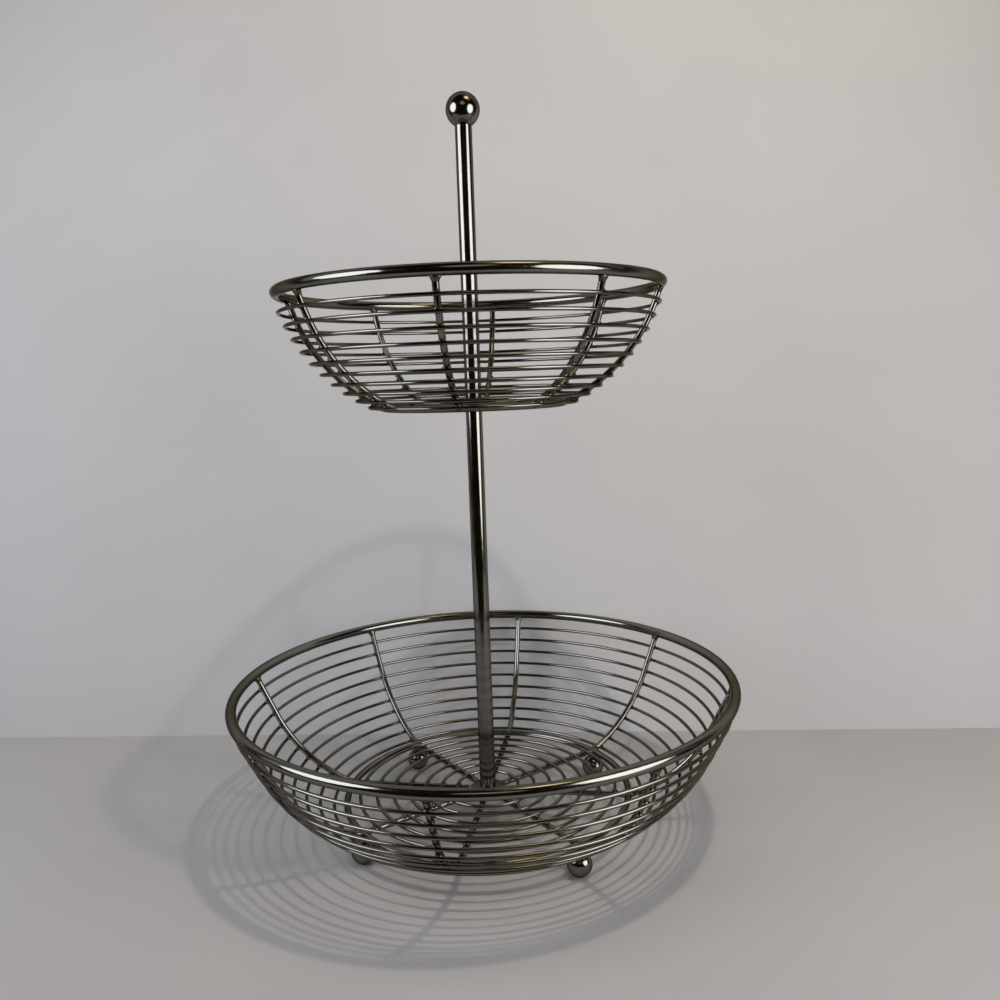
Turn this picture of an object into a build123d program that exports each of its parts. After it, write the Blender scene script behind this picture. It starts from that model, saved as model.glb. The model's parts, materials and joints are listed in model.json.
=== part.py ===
from build123d import *
import math
import os

# Two-tier wire basket on a centre post, in millimetres.
# Z is up. The origin is on the ground, under the axis of the post.
# Eight ribs stand at equal turns, the first one along +X.

os.makedirs("parts", exist_ok=True)

# Wires of both baskets
rim_wire = 6.0
bottom_ring_wire = 4.0
rib_wire = 3.5
thin_wire = 2.0
# Depth by which one wire beds into the next at a weld
weld_sink = 0.1
# A spoke beds less into the round edge of the hub
hub_sink = 0.05
rib_count = 8
full_turn = 360.0

# Lower basket, each radius and height taken at the middle of a wire
lower_rim_radius = 147.0
lower_bottom_ring_radius = 85.5
lower_depth = 69.5
lower_lean = 26.0
lower_straight = 29.0
lower_wall_ring_count = 10
lower_floor_ring_count = 7

# Upper basket, which stands turned a little against the lower one
upper_rim_radius = 107.5
upper_bottom_ring_radius = 52.0
upper_depth = 64.5
upper_lean = 19.0
upper_straight = 9.0
upper_wall_ring_count = 10
upper_floor_ring_count = 4
upper_turn = 2.8

# Places of the thin rings, alike in both baskets. The first two are measured
# along a rib, from the middle of the rim and from the middle of the bottom ring
first_ring_distance = 10.3
last_ring_distance = 7.0
hub_ring_radius = 18.5
floor_edge_gap = 8.0

# Hub disc in the middle of each floor
hub_diameter = 20.0
hub_thickness = 4.0
hub_edge_round = 0.8

# Post, in two lengths that meet at the upper hub
post_diameter = 9.5
post_edge_chamfer = 0.4
lower_post_length = 231.0
upper_post_length = 152.0
thread_diameter = 6.0
thread_clearance = 0.1
thread_end_chamfer = 0.6
# How far a thread reaches into the piece that it holds
joint_grip = 12.0
finial_grip = 8.0
# Room left beyond the end of a thread
hole_spare = 1.5

# Ball on top of the post
finial_diameter = 19.0

# Screw under the lower hub
screw_head_diameter = 12.0
screw_head_height = 3.5
screw_head_round = 1.4
screw_slot_width = 1.4
screw_slot_depth = 1.5

# Ball feet, each with a short neck up to the bottom ring
foot_diameter = 14.0
foot_neck_diameter = 5.0
foot_neck_height = 1.6
foot_neck_round = 0.6
foot_count = 4
# The feet stand under the ribs that are half a foot spacing from +X
foot_start_share = 0.5

# Heights that follow from the sizes above
lower_floor_height = foot_diameter + foot_neck_height + bottom_ring_wire / 2 - weld_sink
lower_post_foot = lower_floor_height + hub_thickness / 2
upper_hub_foot = lower_post_foot + lower_post_length
upper_floor_height = upper_hub_foot + hub_thickness / 2
upper_post_foot = upper_hub_foot + hub_thickness
post_top = upper_post_foot + upper_post_length
finial_seat_drop = math.sqrt((finial_diameter / 2) ** 2 - (post_diameter / 2) ** 2)
finial_height = post_top + finial_seat_drop


def save(part, name):
    """Label one finished piece and write it to its own file."""
    part.label = name
    export_step(part, f"parts/{name}.step")


def upright_plane(turn):
    """Plane through the post's axis, with x outwards at this turn and y upwards."""
    angle = math.radians(turn)
    outward = (math.cos(angle), math.sin(angle), 0)
    side = (math.sin(angle), -math.cos(angle), 0)
    return Plane(origin=(0, 0, 0), x_dir=outward, z_dir=side)


def wall_line(turn, rim_radius, ring_radius, floor_height, depth, lean, straight):
    """Line of a rib, from the middle of the rim to the middle of the bottom ring.

    It is straight below the rim, then one arc in to the bottom ring.
    """
    slope = math.radians(lean)
    down = (-math.sin(slope), -math.cos(slope))
    top = (rim_radius, floor_height + depth)
    bend = (top[0] + straight * down[0], top[1] + straight * down[1])
    with BuildLine(upright_plane(turn)) as line:
        Line(top, bend)
        TangentArc(bend, (ring_radius, floor_height), tangent=down)
    return line.wires()[0]


def wire_ring(radius, height, wire):
    """Closed ring of round wire about the post's axis."""
    with BuildPart() as ring:
        with BuildSketch(Plane.XZ):
            with Locations((radius, height)):
                Circle(wire / 2)
        revolve(axis=Axis.Z)
    return ring.part


def rib(line):
    """Round wire between the rim and the bottom ring, cut square where it meets them."""
    start = rim_wire / 2 - weld_sink
    end = line.length - bottom_ring_wire / 2 + weld_sink
    centreline = line.trim(start / line.length, end / line.length)
    with BuildPart() as wire:
        with BuildSketch(Plane(origin=centreline @ 0, z_dir=centreline % 0)):
            Circle(rib_wire / 2)
        sweep(path=centreline)
    return wire.part


def wall_ring_place(line, distance):
    """Radius and height of a thin ring on the outer side of the ribs."""
    at = line.position_at(distance, position_mode=PositionMode.LENGTH)
    along = line.tangent_at(distance, position_mode=PositionMode.LENGTH)
    # The outward side of the wall is the downward direction turned a quarter
    offset = rib_wire / 2 + thin_wire / 2 - weld_sink
    return at.X - along.Z * offset, at.Z + along.X * offset


def floor_spokes(height, bottom_ring_radius, start):
    """Eight straight wires from the hub to the inner side of the bottom ring."""
    inner = hub_diameter / 2 - hub_sink
    outer = bottom_ring_radius - bottom_ring_wire / 2 + weld_sink
    with BuildPart() as spokes:
        for number in range(rib_count):
            turn = math.radians(start + number * full_turn / rib_count)
            outward = Vector(math.cos(turn), math.sin(turn), 0)
            hub_side = outward * inner + Vector(0, 0, height)
            with BuildSketch(Plane(origin=hub_side, z_dir=outward)):
                Circle(rib_wire / 2)
            extrude(amount=outer - inner)
    return spokes.part


def floor_rings(height, bottom_ring_radius, count):
    """Thin rings on top of the spokes, evenly spaced from the hub to the floor's edge."""
    ring_height = height + rib_wire / 2 + thin_wire / 2 - weld_sink
    last_radius = bottom_ring_radius - floor_edge_gap
    spacing = (last_radius - hub_ring_radius) / (count - 1)
    with BuildPart() as rings:
        with BuildSketch(Plane.XZ):
            for number in range(count):
                with Locations((hub_ring_radius + number * spacing, ring_height)):
                    Circle(thin_wire / 2)
        revolve(axis=Axis.Z)
    return rings.part


def hub(height):
    """Disc that the spokes are welded to, with a hole for the thread."""
    with BuildPart() as disc:
        with BuildSketch(Plane.XY.offset(height - hub_thickness / 2)):
            Circle(hub_diameter / 2)
            Circle(thread_diameter / 2 + thread_clearance, mode=Mode.SUBTRACT)
        extrude(amount=hub_thickness)
        outer_edges = disc.edges().filter_by(GeomType.CIRCLE).group_by(SortBy.RADIUS)[-1]
        fillet(outer_edges, hub_edge_round)
    return disc.part


def basket(
    tier, rim_radius, ring_radius, floor_height, depth, lean, straight, wall_count, floor_count, start
):
    """All the wires of one basket and its hub, each piece written on its own."""
    save(wire_ring(rim_radius, floor_height + depth, rim_wire), f"{tier}_rim")
    save(wire_ring(ring_radius, floor_height, bottom_ring_wire), f"{tier}_bottom_ring")

    wall = (rim_radius, ring_radius, floor_height, depth, lean, straight)
    for number in range(rib_count):
        turn = start + number * full_turn / rib_count
        save(rib(wall_line(turn, *wall)), f"{tier}_rib_{number + 1}")

    profile = wall_line(0, *wall)
    last_distance = profile.length - last_ring_distance
    spacing = (last_distance - first_ring_distance) / (wall_count - 1)
    for number in range(wall_count):
        radius, height = wall_ring_place(profile, first_ring_distance + number * spacing)
        save(wire_ring(radius, height, thin_wire), f"{tier}_wall_ring_{number + 1}")

    save(hub(floor_height), f"{tier}_hub")
    save(floor_spokes(floor_height, ring_radius, start), f"{tier}_floor_spokes")
    save(floor_rings(floor_height, ring_radius, floor_count), f"{tier}_floor_rings")


basket(
    "lower",
    lower_rim_radius,
    lower_bottom_ring_radius,
    lower_floor_height,
    lower_depth,
    lower_lean,
    lower_straight,
    lower_wall_ring_count,
    lower_floor_ring_count,
    0,
)
basket(
    "upper",
    upper_rim_radius,
    upper_bottom_ring_radius,
    upper_floor_height,
    upper_depth,
    upper_lean,
    upper_straight,
    upper_wall_ring_count,
    upper_floor_ring_count,
    upper_turn,
)

# Lower post: plain bar, tapped at both ends
hole_radius = thread_diameter / 2 + thread_clearance
hole_depth = joint_grip + hole_spare
with BuildPart() as lower_post:
    with BuildSketch(Plane.XY.offset(lower_post_foot)):
        Circle(post_diameter / 2)
    extrude(amount=lower_post_length)
    chamfer(lower_post.edges().filter_by(GeomType.CIRCLE), post_edge_chamfer)
    with BuildSketch(Plane.XY.offset(lower_post_foot), Plane.XY.offset(upper_hub_foot - hole_depth)):
        Circle(hole_radius)
    extrude(amount=hole_depth, mode=Mode.SUBTRACT)
save(lower_post.part, "lower_post")

# Upper post: bar with a thread below, through the upper hub, and one above for the ball
with BuildPart() as upper_post:
    with BuildSketch(Plane.XY.offset(upper_post_foot)):
        Circle(post_diameter / 2)
    extrude(amount=upper_post_length)
    chamfer(upper_post.edges().filter_by(GeomType.CIRCLE), post_edge_chamfer)
    with BuildSketch(Plane.XY.offset(upper_hub_foot - joint_grip)):
        Circle(thread_diameter / 2)
    extrude(amount=joint_grip + hub_thickness)
    with BuildSketch(Plane.XY.offset(post_top)):
        Circle(thread_diameter / 2)
    extrude(amount=finial_grip)
    ends = upper_post.faces().sort_by(Axis.Z)
    chamfer(ends[0].edges() + ends[-1].edges(), thread_end_chamfer)
save(upper_post.part, "upper_post")

# Ball finial, cut flat where it sits on the post
with BuildPart() as finial:
    with Locations((0, 0, finial_height)):
        Sphere(finial_diameter / 2)
    split(bisect_by=Plane.XY.offset(post_top), keep=Keep.TOP)
    with BuildSketch(Plane.XY.offset(post_top)):
        Circle(hole_radius)
    extrude(amount=finial_grip + hole_spare, mode=Mode.SUBTRACT)
save(finial.part, "finial")

# Screw that holds the lower post from below the hub
screw_top = lower_post_foot + joint_grip
head_top = lower_post_foot - hub_thickness
with BuildPart() as bottom_screw:
    with BuildSketch(Plane.XY.offset(head_top - screw_head_height)):
        Circle(screw_head_diameter / 2)
    extrude(amount=screw_head_height)
    fillet(bottom_screw.edges().filter_by(GeomType.CIRCLE).sort_by(Axis.Z)[0], screw_head_round)
    with BuildSketch(Plane.XY.offset(head_top)):
        Circle(thread_diameter / 2)
    extrude(amount=screw_top - head_top)
    chamfer(bottom_screw.faces().sort_by(Axis.Z)[-1].edges(), thread_end_chamfer)
    with BuildSketch(Plane.XY.offset(head_top - screw_head_height)):
        Rectangle(screw_head_diameter, screw_slot_width)
    extrude(amount=screw_slot_depth, mode=Mode.SUBTRACT)
save(bottom_screw.part, "bottom_screw")

# Feet, turned as a ball and a neck in one
neck_top = foot_diameter + foot_neck_height
for number in range(foot_count):
    turn = math.radians((number + foot_start_share) * full_turn / foot_count)
    place = (lower_bottom_ring_radius * math.cos(turn), lower_bottom_ring_radius * math.sin(turn))
    with BuildPart() as foot:
        with Locations((place[0], place[1], foot_diameter / 2)):
            Sphere(foot_diameter / 2)
        with BuildSketch(Plane((place[0], place[1], foot_diameter / 2))):
            Circle(foot_neck_diameter / 2)
        extrude(amount=neck_top - foot_diameter / 2)
        inner_edge = foot.edges().filter_by(GeomType.CIRCLE).sort_by(Axis.Z)[-2]
        fillet(inner_edge, foot_neck_round)
    save(foot.part, f"foot_{number + 1}")
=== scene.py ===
import json
import math

import bmesh
import bpy
from mathutils import Matrix, Vector, noise


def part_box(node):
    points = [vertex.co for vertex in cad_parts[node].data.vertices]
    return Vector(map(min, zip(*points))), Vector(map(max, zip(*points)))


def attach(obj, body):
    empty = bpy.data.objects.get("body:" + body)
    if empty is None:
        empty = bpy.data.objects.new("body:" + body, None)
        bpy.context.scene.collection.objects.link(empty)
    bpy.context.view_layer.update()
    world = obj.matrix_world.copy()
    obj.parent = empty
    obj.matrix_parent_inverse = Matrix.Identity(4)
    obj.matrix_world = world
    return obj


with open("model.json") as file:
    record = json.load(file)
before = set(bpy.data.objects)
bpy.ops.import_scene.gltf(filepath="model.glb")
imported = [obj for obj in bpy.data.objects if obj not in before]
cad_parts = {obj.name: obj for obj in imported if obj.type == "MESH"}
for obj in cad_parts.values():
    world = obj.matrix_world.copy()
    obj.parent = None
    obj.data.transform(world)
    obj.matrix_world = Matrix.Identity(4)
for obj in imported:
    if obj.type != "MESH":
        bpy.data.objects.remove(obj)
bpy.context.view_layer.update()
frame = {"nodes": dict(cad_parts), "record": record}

# Blender works in metres. Lengths below are in millimetres and angles in degrees.
MM = 0.001

# The two bowls, as the CAD has them
TIERS = ("lower", "upper")
RIB_COUNT = 8
WALL_RING_COUNT = 10
FLOOR_RING_COUNT = {"lower": 7, "upper": 4}
RIM_WIRE = 6.0
BOTTOM_RING_WIRE = 4.0
RIB_WIRE = 3.5
THIN_WIRE = 2.0
RIB_LEAN = {"lower": 26.0, "upper": 19.0}
RIB_STRAIGHT = {"lower": 29.0, "upper": 9.0}
TIER_TURN = {"lower": 0.0, "upper": 2.8}
HUB_RADIUS = 10.0
HUB_RING_RADIUS = 18.5
FLOOR_EDGE_GAP = 8.0
FOOT_COUNT = 4
FOOT_DIAMETER = 14.0
NECK_RADIUS = 2.5
NECK_HEIGHT = 1.6

# How far the weld beads spread from their wires, and how long they are
RIM_FLARE = 1.3
RING_FLARE = 0.9
HUB_FLARE = 0.8
NECK_FLARE = 0.7
RIB_BEAD = 3.6
SPOKE_BEAD = 2.6
# How deep the beads start inside the hub's edge and the necks' tops
HUB_BEAD_DEPTH = 0.8
NECK_BEAD_DEPTH = 0.4
BEAD_ROWS = 10
BEAD_SIDES = 20
# A bead ends just under the surface of its wire
BEAD_END_SHARE = 0.97
# Across the other wire a bead spreads this share of what it does along it
BEAD_NARROW_SHARE = 0.3
# Unevenness of a bead, and the size of its lumps
BEAD_LUMP_SHARE = 0.5
BEAD_LUMP_SIZE = 1.6

# Weld nuggets where thin rings cross: half of their length, width and thickness
WALL_NUGGET = (2.4, 1.7, 1.0)
FLOOR_NUGGET = (2.4, 1.8, 1.0)
NUGGET_LUMP_SHARE = 0.35
# Lumps to a nugget's radius, and the distance over which nuggets stop being alike
NUGGET_LUMPS = 1.5
NUGGET_CHANGE = 3.0

# Marks on the metal. Real drawing lines are finer than 0.1 mm, and are drawn coarser to show
HANDLING_MARK = 12.0
DUST_SPOT = 1.5
# Dull patches are this many times as rough as clean ones, and dust adds this much
DULL_TIMES = 1.8
DUST_ROUGHNESS = 0.12
# Dark nickel doesn't whiten towards its outlines as bright chrome does
EDGE_TINT = "#8f8d84"

# The photograph was taken from along -Y, and the whole view turns about the post's axis
VIEW_TURN = 11.08
CAMERA_PLACE = (-0.2, -513.3, 269.2)
CAMERA_PAN = -1.51
CAMERA_TILT = 81.93
CAMERA_ROLL = -1.94
SENSOR_WIDTH = 36.0
LENS = 31.78

# The board ends in front of the stand, and past it the room is dark, as the metal shows
BOARD_REACH = 3000.0
BOARD_FRONT = -380.0
# The cloth meets the board in a line that the photograph shows, and leans back
CLOTH_LEFT = (-3160.0, 400.0)
CLOTH_RIGHT = (3160.0, -146.0)
CLOTH_HEIGHT = 2400.0
CLOTH_LEAN = 900.0
# Soft unevenness of the board and the cloth
STAGE_CLOUD = 160.0
STAGE_ROUGHNESS = 0.9
BOARD_GRAIN = 2.0
BOARD_GRAIN_DEPTH = 0.05
CLOTH_NAP = 3.0
CLOTH_NAP_DEPTH = 0.15

# Sockets of the Mix node that carry colours
MIX_A, MIX_B, MIX_RESULT = 6, 7, 2

TURN = Matrix.Rotation(math.radians(VIEW_TURN), 4, "Z")


def linear(colour, alpha=1.0):
    """Linear values of an sRGB hex colour."""
    parts = [int(colour[at : at + 2], 16) / 255 for at in (1, 3, 5)]
    parts = [c / 12.92 if c <= 0.04045 else ((c + 0.055) / 1.055) ** 2.4 for c in parts]
    return (*parts, alpha)


def add(tree, kind, settings=None, inputs=None):
    """Add a node. An input is a value, or the output socket that it is linked from."""
    node = tree.nodes.new(kind)
    for name, value in (settings or {}).items():
        setattr(node, name, value)
    for name, value in (inputs or {}).items():
        if isinstance(value, bpy.types.NodeSocket):
            tree.links.new(value, node.inputs[name])
        else:
            node.inputs[name].default_value = value
    return node


def new_material(name):
    """Material with an empty node tree, and that tree."""
    material = bpy.data.materials.new(name)
    material.use_nodes = True
    material.node_tree.nodes.clear()
    return material, material.node_tree


# Metals

def drawn_line_height(tree, lines, spacing):
    """Height of the fine lines that drawing or turning leaves.

    Lines that go round follow the rings about the post's axis, and lines along follow
    the post. Spots go no particular way, on bent, turned and welded pieces.
    """
    place = add(tree, "ShaderNodeTexCoord").outputs["Object"]
    split = add(tree, "ShaderNodeSeparateXYZ", inputs={"Vector": place})
    x, y, z = (split.outputs[axis] for axis in "XYZ")
    if lines == "round":
        flat = add(tree, "ShaderNodeCombineXYZ", inputs={"X": x, "Y": y})
        reach = add(
            tree, "ShaderNodeVectorMath", {"operation": "LENGTH"}, {0: flat.outputs["Vector"]}
        )
        across = add(tree, "ShaderNodeCombineXYZ", inputs={"X": reach.outputs["Value"], "Z": z})
    elif lines == "along":
        across = add(tree, "ShaderNodeCombineXYZ", inputs={"X": x, "Y": y})
    else:
        across = add(tree, "ShaderNodeCombineXYZ", inputs={"X": x, "Y": y, "Z": z})
    grooves = add(
        tree,
        "ShaderNodeTexNoise",
        inputs={"Vector": across.outputs["Vector"], "Scale": 1 / (spacing * MM), "Detail": 2.0},
    )
    return grooves.outputs["Fac"]


def plated_steel(name, colour, shade, roughness, lines, line_spacing, line_depth):
    """Steel, polished and then plated.

    The plating mirrors the room a little warmly. Handling leaves cloudy patches where
    the mirror is softer, and drawing or turning leaves fine lines.
    """
    material, tree = new_material(name)
    place = add(tree, "ShaderNodeTexCoord").outputs["Object"]
    clouds = add(
        tree,
        "ShaderNodeTexNoise",
        inputs={"Vector": place, "Scale": 1 / (HANDLING_MARK * MM), "Detail": 4.0, "Roughness": 0.6},
    )
    specks = add(
        tree,
        "ShaderNodeTexNoise",
        inputs={"Vector": place, "Scale": 1 / (DUST_SPOT * MM), "Detail": 3.0, "Roughness": 0.7},
    )
    tint = add(
        tree,
        "ShaderNodeMix",
        {"data_type": "RGBA"},
        {0: clouds.outputs["Fac"], MIX_A: linear(shade), MIX_B: linear(colour)},
    )
    dull = add(
        tree,
        "ShaderNodeMapRange",
        inputs={
            "Value": clouds.outputs["Fac"],
            "From Min": 0.35,
            "From Max": 0.7,
            "To Min": roughness,
            "To Max": roughness * DULL_TIMES,
        },
    )
    spots = add(
        tree,
        "ShaderNodeMapRange",
        inputs={
            "Value": specks.outputs["Fac"],
            "From Min": 0.58,
            "From Max": 0.75,
            "To Min": 0.0,
            "To Max": DUST_ROUGHNESS,
        },
    )
    rough = add(
        tree,
        "ShaderNodeMath",
        {"operation": "ADD"},
        {0: dull.outputs["Result"], 1: spots.outputs["Result"]},
    )
    bump = add(
        tree,
        "ShaderNodeBump",
        inputs={
            "Height": drawn_line_height(tree, lines, line_spacing),
            "Strength": 1.0,
            "Distance": line_depth * MM,
        },
    )
    shader = add(
        tree,
        "ShaderNodeBsdfPrincipled",
        inputs={
            "Base Color": tint.outputs[MIX_RESULT],
            "Metallic": 1.0,
            "Roughness": rough.outputs["Value"],
            "Specular Tint": linear(EDGE_TINT),
            "Normal": bump.outputs["Normal"],
        },
    )
    add(tree, "ShaderNodeOutputMaterial", inputs={"Surface": shader.outputs["BSDF"]})
    return material


# Each has its clean and its handled colour, its roughness, then the kind, spacing and depth
# of its fine lines. The wires and the post are dark nickel over polished steel, which mirrors
# the windows as bright streaks and the dark room as near black.
nickel_rim = plated_steel("nickel_plated_rim_wire", "#87857d", "#77756e", 0.09, "round", 0.5, 0.003)
nickel_ring = plated_steel("nickel_plated_ring_wire", "#86847b", "#736f67", 0.09, "round", 0.4, 0.002)
nickel_rib = plated_steel("nickel_plated_rib_wire", "#86847b", "#736f67", 0.09, "spots", 0.5, 0.003)
nickel_post = plated_steel("nickel_plated_post", "#87857d", "#79776f", 0.09, "along", 0.4, 0.002)
# The balls are turned and polished, so their mirror is broken by hardly any lines
nickel_ball = plated_steel("nickel_plated_ball", "#87857d", "#7b7971", 0.10, "spots", 0.8, 0.001)
# Weld metal is plated as it cooled, so it is duller, darker in patches and lumpy
nickel_weld = plated_steel("nickel_plated_weld", "#79766a", "#514d44", 0.20, "spots", 0.6, 0.03)
# The screw is a bought one with a pale, satin zinc coat
zinc_screw = plated_steel("zinc_plated_screw", "#a9acae", "#939698", 0.28, "spots", 0.5, 0.01)

FINISHES = {
    "rim_wire": nickel_rim,
    "bottom_ring_wire": nickel_ring,
    "thin_wire": nickel_ring,
    "rib_wire": nickel_rib,
    "hub": nickel_rim,
    "post": nickel_post,
    "finial": nickel_ball,
    "feet": nickel_ball,
    "screw": zinc_screw,
}


def dress_nodes():
    """Give each node the finish of its material slot."""
    for part in frame["record"]["subparts"]:
        node = frame["nodes"][part["node"]]
        node.data.materials.clear()
        node.data.materials.append(FINISHES[part["material_slot"]])
        for face in node.data.polygons:
            face.use_smooth = True


dress_nodes()


# Welds, which the CAD leaves out: beads round the wires' ends, and nuggets where wires cross

def mesh_piece(name, mesh):
    """Piece of weld metal from a bmesh, riding on the stand."""
    data = bpy.data.meshes.new(name)
    bmesh.ops.recalc_face_normals(mesh, faces=mesh.faces)
    mesh.to_mesh(data)
    mesh.free()
    for face in data.polygons:
        face.use_smooth = True
    data.materials.append(nickel_weld)
    piece = bpy.data.objects.new(name, data)
    bpy.context.scene.collection.objects.link(piece)
    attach(piece, "root")


def bead_swell(way, length, root):
    """Share of its flare that a bead has at a distance from its start."""
    if way < root:
        return math.sin(math.pi / 2 * way / root)
    return ((length - way) / (length - root)) ** 2


def add_bead(mesh, start, along, wide, radius, flare, length, root):
    """Bead of weld round a wire's end, from inside the other wire, which it leaves after root.

    It spreads most the wide way, which is along the other wire.
    """
    along = along.normalized()
    wide = (wide - along * along.dot(wide)).normalized()
    narrow = along.cross(wide)
    rings = []
    for row in range(BEAD_ROWS):
        way = length * row / (BEAD_ROWS - 1)
        swell = bead_swell(way, length, root)
        place = start + along * way
        ring = []
        for side in range(BEAD_SIDES):
            turn = 2 * math.pi * side / BEAD_SIDES
            out = wide * math.cos(turn) + narrow * math.sin(turn)
            spread = BEAD_NARROW_SHARE + (1 - BEAD_NARROW_SHARE) * math.cos(turn) ** 2
            lump = 1 + BEAD_LUMP_SHARE * noise.noise((place + out * radius) / (BEAD_LUMP_SIZE * MM))
            reach = radius * BEAD_END_SHARE + flare * spread * lump * swell
            ring.append(mesh.verts.new(place + out * reach))
        rings.append(ring)
    for lower, upper in zip(rings, rings[1:]):
        for side in range(BEAD_SIDES):
            after = (side + 1) % BEAD_SIDES
            mesh.faces.new((lower[side], lower[after], upper[after], upper[side]))
    mesh.faces.new(rings[0][::-1])
    mesh.faces.new(rings[-1])


def add_nugget(mesh, place, along, across, size):
    """Flattened lump of weld between two crossing wires."""
    along = along.normalized()
    across = (across - along * across.dot(along)).normalized()
    through = along.cross(across)
    turned = Matrix((along, across, through)).transposed().to_4x4()
    made = bmesh.ops.create_icosphere(mesh, subdivisions=2, radius=1.0)["verts"]
    for vert in made:
        spot = vert.co * NUGGET_LUMPS + place / (NUGGET_CHANGE * MM)
        lump = 1 + NUGGET_LUMP_SHARE * noise.noise(spot)
        local = Vector([vert.co[i] * size[i] * MM * lump for i in range(3)])
        vert.co = place + (turned @ local)


def ring_place(node, wire):
    """Radius and height of the middle of a ring's wire, in metres."""
    low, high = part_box(node)
    return (high[0] - low[0]) / 2 - wire * MM / 2, (low[2] + high[2]) / 2


def outward(turn):
    """Level direction away from the post, at a turn in degrees."""
    angle = math.radians(turn)
    return Vector((math.cos(angle), math.sin(angle), 0))


def sideways(level):
    """Level direction at right angles to another one."""
    return Vector((-level.y, level.x, 0))


def rib_turns(tier):
    """Turns at which the ribs and spokes of a bowl stand."""
    return [TIER_TURN[tier] + 360 / RIB_COUNT * count for count in range(RIB_COUNT)]


def rib_course(tier):
    """Ends of a rib's line and the directions in which it leaves them, as (out, up) pairs."""
    top = Vector(ring_place(f"{tier}_rim", RIM_WIRE))
    bottom = Vector(ring_place(f"{tier}_bottom_ring", BOTTOM_RING_WIRE))
    lean = math.radians(RIB_LEAN[tier])
    down = Vector((-math.sin(lean), -math.cos(lean)))
    bend = top + down * RIB_STRAIGHT[tier] * MM
    chord = (bottom - bend).normalized()
    # An arc leaves its chord at the angle at which it met it
    arrival = 2 * down.dot(chord) * chord - down
    return top, down, bottom, -arrival


def stand_out(turn, pair):
    """Point or direction in space of an (out, up) pair at a turn."""
    return outward(turn) * pair[0] + Vector((0, 0, pair[1]))


def weld_rib_ends(tier):
    """Beads where the ribs meet the rim and the bottom ring."""
    top, down, bottom, rising = rib_course(tier)
    beads = bmesh.new()
    ends = ((top, down, RIM_WIRE, RIM_FLARE), (bottom, rising, BOTTOM_RING_WIRE, RING_FLARE))
    for turn in rib_turns(tier):
        side = sideways(outward(turn))
        for end, leaving, wire, flare in ends:
            # The bead starts halfway from the middle of the other wire to its surface
            root = wire / 4 * MM
            start = stand_out(turn, end + leaving * root)
            along = stand_out(turn, leaving)
            length = root + RIB_BEAD * MM
            add_bead(beads, start, along, side, RIB_WIRE / 2 * MM, flare * MM, length, root)
    mesh_piece(f"{tier}_rib_weld_beads", beads)


def weld_spoke_ends(tier):
    """Beads where the spokes meet the bottom ring and the hub."""
    beads = bmesh.new()
    wire = RIB_WIRE / 2 * MM
    ring_radius, height = ring_place(f"{tier}_bottom_ring", BOTTOM_RING_WIRE)
    middle = Vector((0, 0, height))
    root = BOTTOM_RING_WIRE / 4 * MM
    length = root + SPOKE_BEAD * MM
    hub_root = HUB_BEAD_DEPTH * MM
    hub_length = hub_root + SPOKE_BEAD * MM
    for turn in rib_turns(tier):
        level = outward(turn)
        side = sideways(level)
        start = level * (ring_radius - root) + middle
        add_bead(beads, start, -level, side, wire, RING_FLARE * MM, length, root)
        start = level * (HUB_RADIUS - HUB_BEAD_DEPTH) * MM + middle
        add_bead(beads, start, level, side, wire, HUB_FLARE * MM, hub_length, hub_root)
    mesh_piece(f"{tier}_floor_weld_beads", beads)


def weld_wall_crossings(tier):
    """Nuggets where the thin rings of the wall cross the ribs."""
    nuggets = bmesh.new()
    for count, turn in enumerate(rib_turns(tier)):
        level = outward(turn)
        side = sideways(level)
        rib = frame["nodes"][f"{tier}_rib_{count + 1}"]
        for ring in range(WALL_RING_COUNT):
            radius, height = ring_place(f"{tier}_wall_ring_{ring + 1}", THIN_WIRE)
            middle = level * radius + Vector((0, 0, height))
            _, nearest, _, _ = rib.closest_point_on_mesh(middle)
            towards = (nearest - middle).normalized()
            contact = middle + towards * THIN_WIRE / 2 * MM
            add_nugget(nuggets, contact, side, towards.cross(side), WALL_NUGGET)
    mesh_piece(f"{tier}_wall_weld_nuggets", nuggets)


def weld_floor_crossings(tier):
    """Nuggets where the thin rings of the floor lie on the spokes."""
    nuggets = bmesh.new()
    ring_radius, height = ring_place(f"{tier}_bottom_ring", BOTTOM_RING_WIRE)
    last_radius = ring_radius / MM - FLOOR_EDGE_GAP
    spacing = (last_radius - HUB_RING_RADIUS) / (FLOOR_RING_COUNT[tier] - 1)
    spoke_top = Vector((0, 0, height + RIB_WIRE / 2 * MM))
    for turn in rib_turns(tier):
        level = outward(turn)
        for count in range(FLOOR_RING_COUNT[tier]):
            contact = level * (HUB_RING_RADIUS + spacing * count) * MM + spoke_top
            add_nugget(nuggets, contact, sideways(level), level, FLOOR_NUGGET)
    mesh_piece(f"{tier}_floor_weld_nuggets", nuggets)


def weld_foot_necks():
    """Beads where the feet's necks meet the bottom ring."""
    beads = bmesh.new()
    root = NECK_BEAD_DEPTH * MM
    for count in range(FOOT_COUNT):
        low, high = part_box(f"foot_{count + 1}")
        middle = (low + high) / 2
        start = Vector((middle.x, middle.y, FOOT_DIAMETER * MM - root))
        up = Vector((0, 0, 1))
        add_bead(
            beads,
            start,
            up,
            sideways(middle),
            NECK_RADIUS * MM,
            NECK_FLARE * MM,
            NECK_HEIGHT * MM,
            root,
        )
    mesh_piece("foot_neck_beads", beads)


for tier in TIERS:
    weld_rib_ends(tier)
    weld_spoke_ends(tier)
    weld_wall_crossings(tier)
    weld_floor_crossings(tier)
weld_foot_necks()


# Stage: a pale board under the stand and a pale cloth behind it

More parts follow.
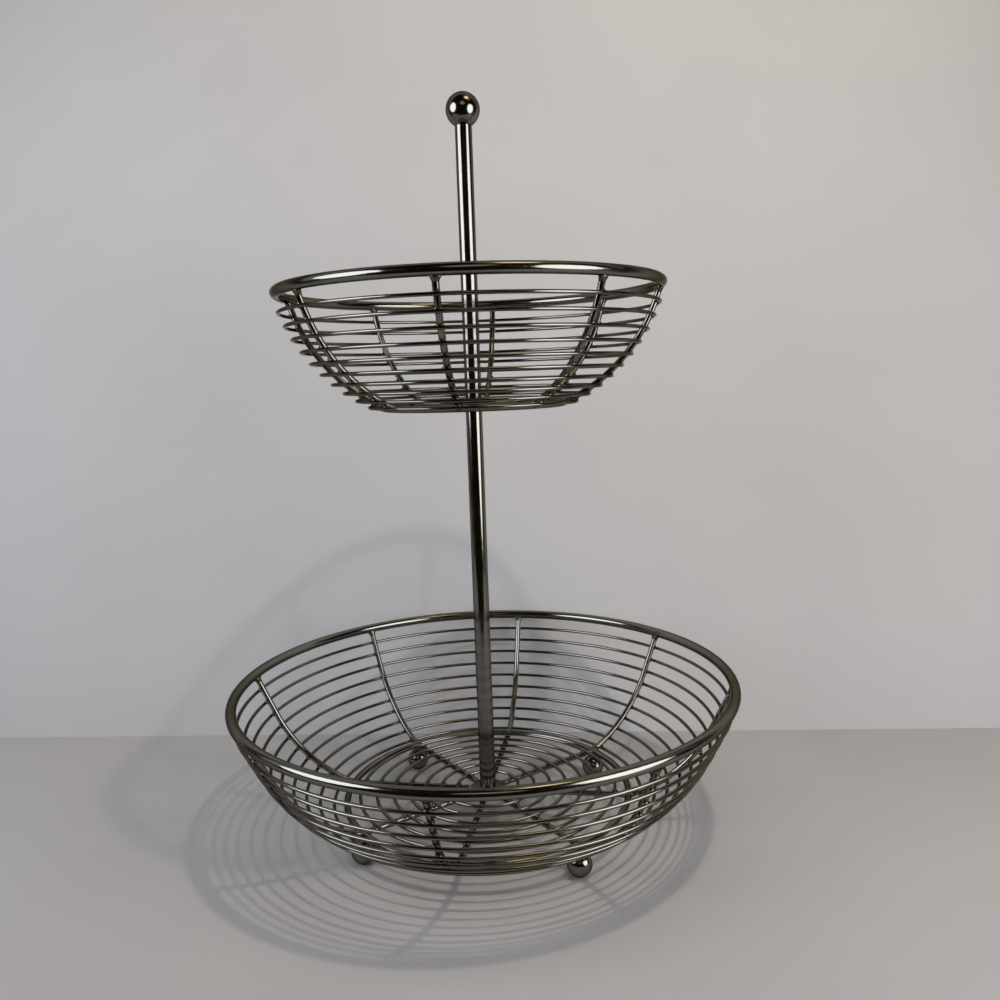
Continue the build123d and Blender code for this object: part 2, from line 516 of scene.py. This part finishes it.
def stage_material(name, colour, shade, grain, depth, see_through_back=False):
    """Matt pale board or cloth. Its colour is a little cloudy, and its grain breaks the light."""
    material, tree = new_material(name)
    place = add(tree, "ShaderNodeTexCoord").outputs["Object"]
    clouds = add(
        tree,
        "ShaderNodeTexNoise",
        inputs={"Vector": place, "Scale": 1 / (STAGE_CLOUD * MM), "Detail": 3.0},
    )
    nap = add(
        tree,
        "ShaderNodeTexNoise",
        inputs={"Vector": place, "Scale": 1 / (grain * MM), "Detail": 3.0},
    )
    tint = add(
        tree,
        "ShaderNodeMix",
        {"data_type": "RGBA"},
        {0: clouds.outputs["Fac"], MIX_A: linear(shade), MIX_B: linear(colour)},
    )
    bump = add(
        tree,
        "ShaderNodeBump",
        inputs={"Height": nap.outputs["Fac"], "Strength": 1.0, "Distance": depth * MM},
    )
    shader = add(
        tree,
        "ShaderNodeBsdfPrincipled",
        inputs={
            "Base Color": tint.outputs[MIX_RESULT],
            "Roughness": STAGE_ROUGHNESS,
            "Normal": bump.outputs["Normal"],
        },
    ).outputs["BSDF"]
    if see_through_back:
        # From behind, the cloth doesn't hide the stand
        back = add(tree, "ShaderNodeNewGeometry").outputs["Backfacing"]
        clear = add(tree, "ShaderNodeBsdfTransparent").outputs["BSDF"]
        shader = add(
            tree, "ShaderNodeMixShader", inputs={0: back, 1: shader, 2: clear}
        ).outputs["Shader"]
    add(tree, "ShaderNodeOutputMaterial", inputs={"Surface": shader})
    return material


def photo_point(x, y, z):
    """Point in metres of a place in the photograph's frame, which is in millimetres."""
    return TURN @ (Vector((x, y, z)) * MM)


def stage_sheet(name, corners, material):
    """Flat sheet of the stage through four corners in the photograph's frame."""
    mesh = bpy.data.meshes.new(name)
    mesh.from_pydata([photo_point(*corner) for corner in corners], [], [(0, 1, 2, 3)])
    mesh.materials.append(material)
    sheet = bpy.data.objects.new(name, mesh)
    bpy.context.scene.collection.objects.link(sheet)
    return sheet


stage_sheet(
    "floor",
    [
        (-BOARD_REACH, BOARD_FRONT, 0),
        (BOARD_REACH, BOARD_FRONT, 0),
        (BOARD_REACH, BOARD_REACH, 0),
        (-BOARD_REACH, BOARD_REACH, 0),
    ],
    stage_material("pale_board", "#a4a3a1", "#9b9a99", BOARD_GRAIN, BOARD_GRAIN_DEPTH),
)

pale_cloth = stage_material(
    "pale_cloth", "#b6b6b5", "#aaaaaa", CLOTH_NAP, CLOTH_NAP_DEPTH, see_through_back=True
)
backdrop = stage_sheet(
    "backdrop",
    [
        (CLOTH_LEFT[0], CLOTH_LEFT[1], 0),
        (CLOTH_RIGHT[0], CLOTH_RIGHT[1], 0),
        (CLOTH_RIGHT[0], CLOTH_RIGHT[1] + CLOTH_LEAN, CLOTH_HEIGHT),
        (CLOTH_LEFT[0], CLOTH_LEFT[1] + CLOTH_LEAN, CLOTH_HEIGHT),
    ],
    pale_cloth,
)
backdrop.visible_shadow = False


# Light

def lamp(name, place, aim, width, height, watts, colour, mirrored=True):
    """Oval lamp at a place in the photograph's frame, aimed at a point of it."""
    data = bpy.data.lights.new(name, "AREA")
    data.shape = "ELLIPSE"
    data.size = width * MM
    data.size_y = height * MM
    data.energy = watts
    data.color = linear(colour)[:3]
    shining = bpy.data.objects.new(name, data)
    bpy.context.scene.collection.objects.link(shining)
    start = photo_point(*place)
    facing = (photo_point(*aim) - start).to_track_quat("-Z", "Y").to_matrix().to_4x4()
    shining.matrix_world = Matrix.Translation(start) @ facing
    shining.visible_glossy = mirrored


# A small lamp overhead throws the sharp shadow. It glows, and tints the ceiling round it amber.
# The metal mirrors both, a window and a screen at its sides and a pale wall in front.
# Each has its place and its aim, then its width, height, watts and colour.
lamp("ceiling_lamp", (265, -250, 1100), (0, 0, 200), 50, 50, 3.1, "#ffefe0", mirrored=False)
lamp("ceiling_glow", (265, -250, 1110), (0, 0, 200), 280, 240, 0.66, "#ffecc8")
lamp("ceiling_halo", (320, -230, 1130), (0, 0, 200), 600, 600, 0.27, "#ffcf5a")
lamp("ceiling_bounce", (0, -120, 1500), (0, 530, 920), 1200, 500, 6.2, "#fffaf6", mirrored=False)
lamp("left_window", (-693, -287, 520), (0, 0, 400), 600, 660, 4.8, "#ecf0ff")
lamp("right_screen", (512, -400, 345), (0, 0, 300), 480, 600, 3.2, "#fafaff")
lamp("front_wall", (0, -1500, 1200), (0, 0, 300), 850, 650, 0.8, "#f4f4f0")


def light_room():
    """World light: a dark room all round.

    Reflections show the half behind the stand as pale as the camera sees it, and what the camera sees
    directly is pale all round.
    """
    world = bpy.data.worlds.new("room")
    bpy.context.scene.world = world
    world.use_nodes = True
    tree = world.node_tree
    tree.nodes.clear()
    ray = add(tree, "ShaderNodeLightPath").outputs
    heading = add(tree, "ShaderNodeTexCoord").outputs["Generated"]
    behind = add(
        tree,
        "ShaderNodeVectorMath",
        {"operation": "DOT_PRODUCT"},
        {0: heading, 1: TURN @ Vector((0, 1, 0))},
    )
    pale_half = add(
        tree,
        "ShaderNodeMapRange",
        inputs={"Value": behind.outputs["Value"], "From Min": 0.0, "From Max": 0.25},
    )
    mirrored = add(
        tree,
        "ShaderNodeMath",
        {"operation": "MAXIMUM"},
        {0: ray["Is Glossy Ray"], 1: ray["Is Transmission Ray"]},
    )
    mirrored_pale = add(
        tree,
        "ShaderNodeMath",
        {"operation": "MULTIPLY"},
        {0: mirrored.outputs["Value"], 1: pale_half.outputs["Result"]},
    )
    seen = add(
        tree,
        "ShaderNodeMath",
        {"operation": "MAXIMUM"},
        {0: ray["Is Camera Ray"], 1: mirrored_pale.outputs["Value"]},
    )
    room = add(tree, "ShaderNodeBackground", inputs={"Color": linear("#211a10"), "Strength": 1.0})
    pale = add(tree, "ShaderNodeBackground", inputs={"Color": linear("#b4b4b3"), "Strength": 1.0})
    mixed = add(
        tree,
        "ShaderNodeMixShader",
        inputs={
            0: seen.outputs["Value"],
            1: room.outputs["Background"],
            2: pale.outputs["Background"],
        },
    )
    add(tree, "ShaderNodeOutputWorld", inputs={"Surface": mixed.outputs["Shader"]})


light_room()


# Camera

camera_data = bpy.data.cameras.new("camera")
camera_data.sensor_width = SENSOR_WIDTH
camera_data.lens = LENS
camera = bpy.data.objects.new("camera", camera_data)
bpy.context.scene.collection.objects.link(camera)
camera.matrix_world = (
    TURN
    @ Matrix.Translation(Vector(CAMERA_PLACE) * MM)
    @ Matrix.Rotation(math.radians(CAMERA_PAN), 4, "Z")
    @ Matrix.Rotation(math.radians(CAMERA_TILT), 4, "X")
    @ Matrix.Rotation(math.radians(CAMERA_ROLL), 4, "Z")
)
bpy.context.scene.camera = camera

bpy.context.scene.view_settings.view_transform = "Standard"
